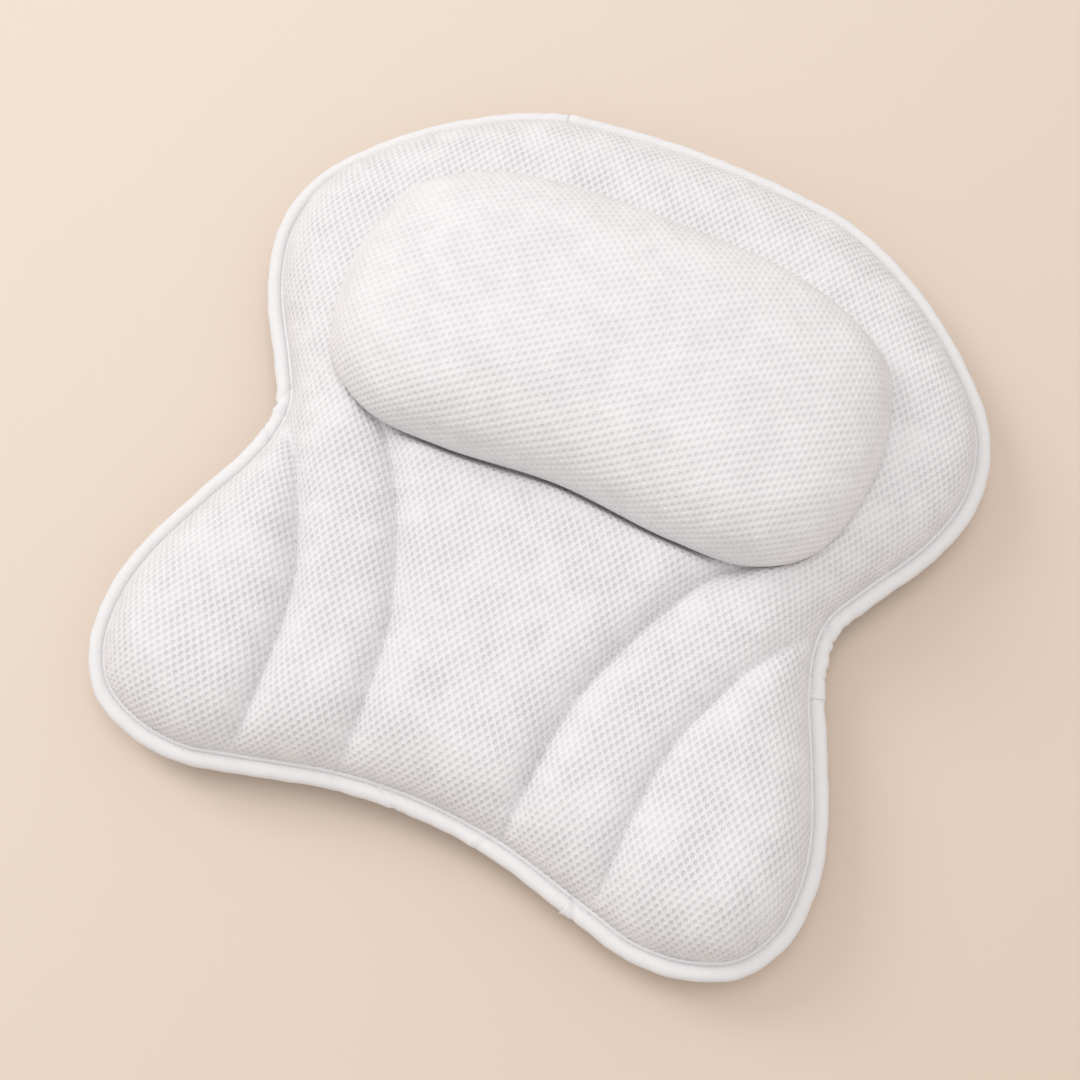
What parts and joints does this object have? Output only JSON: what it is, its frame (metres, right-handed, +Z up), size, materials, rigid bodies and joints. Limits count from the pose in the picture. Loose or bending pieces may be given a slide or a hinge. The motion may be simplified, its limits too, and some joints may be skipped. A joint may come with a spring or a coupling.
{
  "type": "bath pillow",
  "caption": "Butterfly-shaped bath pillow of white air mesh with a raised neck bolster, sewn channels, a taped edge and suction cups.",
  "frame": {"origin": "on the surface that the suction cups stand on, under the middle of the pillow", "axes": "+Z up out of the front, +Y towards the head end, +X across the width"},
  "size_m": [0.4288, 0.4436, 0.1086],
  "materials": {
    "air_mesh": "white knitted spacer mesh",
    "back_mesh": "white knitted spacer mesh, flat",
    "binding_tape": "white ribbed binding tape",
    "filling": "loose polyester fibre",
    "clear_rubber": "clear soft vinyl",
    "white_plastic": "moulded, satin"
  },
  "bodies": {
    "cushion": {"front_cover": "air_mesh", "back_cover": "back_mesh", "edge_binding": "binding_tape", "bolster_cover": "air_mesh", "bolster_fill": "filling", "head_pad": "filling", "centre_pad": "filling", "channel_pad_right": "filling", "channel_pad_left": "filling", "lobe_pad_right": "filling", "lobe_pad_left": "filling", "eyelet_top_right": "white_plastic", "eyelet_top_left": "white_plastic", "eyelet_middle_right": "white_plastic", "eyelet_middle_left": "white_plastic", "eyelet_bottom_right": "white_plastic", "eyelet_bottom_left": "white_plastic", "eyelet_washer_top_right": "white_plastic", "eyelet_washer_top_left": "white_plastic", "eyelet_washer_middle_right": "white_plastic", "eyelet_washer_middle_left": "white_plastic", "eyelet_washer_bottom_right": "white_plastic", "eyelet_washer_bottom_left": "white_plastic"},
    "cup_top_right": {"suction_cup_top_right": "clear_rubber"},
    "cup_top_left": {"suction_cup_top_left": "clear_rubber"},
    "cup_middle_right": {"suction_cup_middle_right": "clear_rubber"},
    "cup_middle_left": {"suction_cup_middle_left": "clear_rubber"},
    "cup_bottom_right": {"suction_cup_bottom_right": "clear_rubber"},
    "cup_bottom_left": {"suction_cup_bottom_left": "clear_rubber"}
  },
  "joints": [
    {"name": "cup_turn_top_right", "type": "hinge", "parent": "cushion", "child": "cup_top_right", "pos_m": [0.1234, 0.12478, 0], "axis": [0, 0, 1], "continuous": true},
    {"name": "cup_turn_top_left", "type": "hinge", "parent": "cushion", "child": "cup_top_left", "pos_m": [-0.1234, 0.12478, 0], "axis": [0, 0, 1], "continuous": true},
    {"name": "cup_turn_middle_right", "type": "hinge", "parent": "cushion", "child": "cup_middle_right", "pos_m": [0.10798, -0.0497, 0], "axis": [0, 0, 1], "continuous": true},
    {"name": "cup_turn_middle_left", "type": "hinge", "parent": "cushion", "child": "cup_middle_left", "pos_m": [-0.10798, -0.0497, 0], "axis": [0, 0, 1], "continuous": true},
    {"name": "cup_turn_bottom_right", "type": "hinge", "parent": "cushion", "child": "cup_bottom_right", "pos_m": [0.1506, -0.1585, 0], "axis": [0, 0, 1], "continuous": true},
    {"name": "cup_turn_bottom_left", "type": "hinge", "parent": "cushion", "child": "cup_bottom_left", "pos_m": [-0.1506, -0.1585, 0], "axis": [0, 0, 1], "continuous": true}
  ]
}
